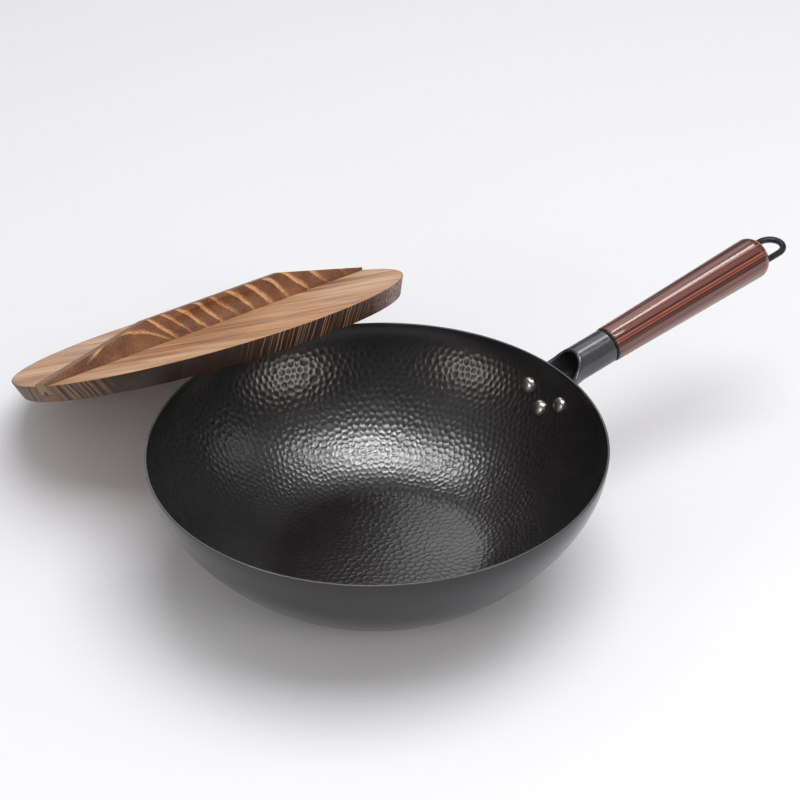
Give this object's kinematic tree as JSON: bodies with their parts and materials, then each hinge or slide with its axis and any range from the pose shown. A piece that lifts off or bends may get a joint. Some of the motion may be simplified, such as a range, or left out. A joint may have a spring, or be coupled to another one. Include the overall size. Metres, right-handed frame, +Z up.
{
  "type": "wok with lid",
  "caption": "Non-stick wok with a hammered inside, a riveted steel bracket, a turned wooden grip with a hanging loop, and a loose wooden plank lid leaning on its rim.",
  "frame": {"origin": "centre of the flat base's underside, on the table", "axes": "+Z up through the bowl's axis, +X out under the handle, +Y towards the side where the lid leans"},
  "size_m": [0.5515, 0.5328, 0.1475],
  "materials": {
    "coated_steel": "black non-stick coating, satin",
    "bracket_steel": "dark grey satin casting",
    "rivet_steel": "nickel bright",
    "fastener_steel": "zinc plated",
    "black_fibre": "matt",
    "grip_wood": "striped red-brown, lacquered",
    "loop_steel": "dark satin wire",
    "lid_wood": "tan, singed grain, oiled",
    "bar_wood": "brown with tan bands, oiled",
    "peg_wood": "pale bamboo"
  },
  "bodies": {
    "wok": {"wok_bowl": "coated_steel", "handle_bracket": "bracket_steel", "rivet_left": "rivet_steel", "rivet_right": "rivet_steel", "rivet_lower": "rivet_steel", "heat_washer": "black_fibre", "grip_stud": "fastener_steel", "stud_nut": "fastener_steel", "lock_washer": "fastener_steel", "handle_grip": "grip_wood", "hanging_loop": "loop_steel"},
    "lid": {"lid_plank_1": "lid_wood", "lid_plank_2": "lid_wood", "lid_plank_3": "lid_wood", "lid_plank_4": "lid_wood", "lid_plank_5": "lid_wood", "lid_bar": "bar_wood", "plank_peg_1_near": "peg_wood", "plank_peg_1_far": "peg_wood", "plank_peg_2_near": "peg_wood", "plank_peg_2_far": "peg_wood", "plank_peg_3_near": "peg_wood", "plank_peg_3_far": "peg_wood", "plank_peg_4_near": "peg_wood", "plank_peg_4_far": "peg_wood"}
  },
  "joints": [
    {"name": "lid_lift", "type": "slide", "parent": "wok", "child": "lid", "axis": [0, 0, 1], "range_m": [0, 0.15]}
  ]
}
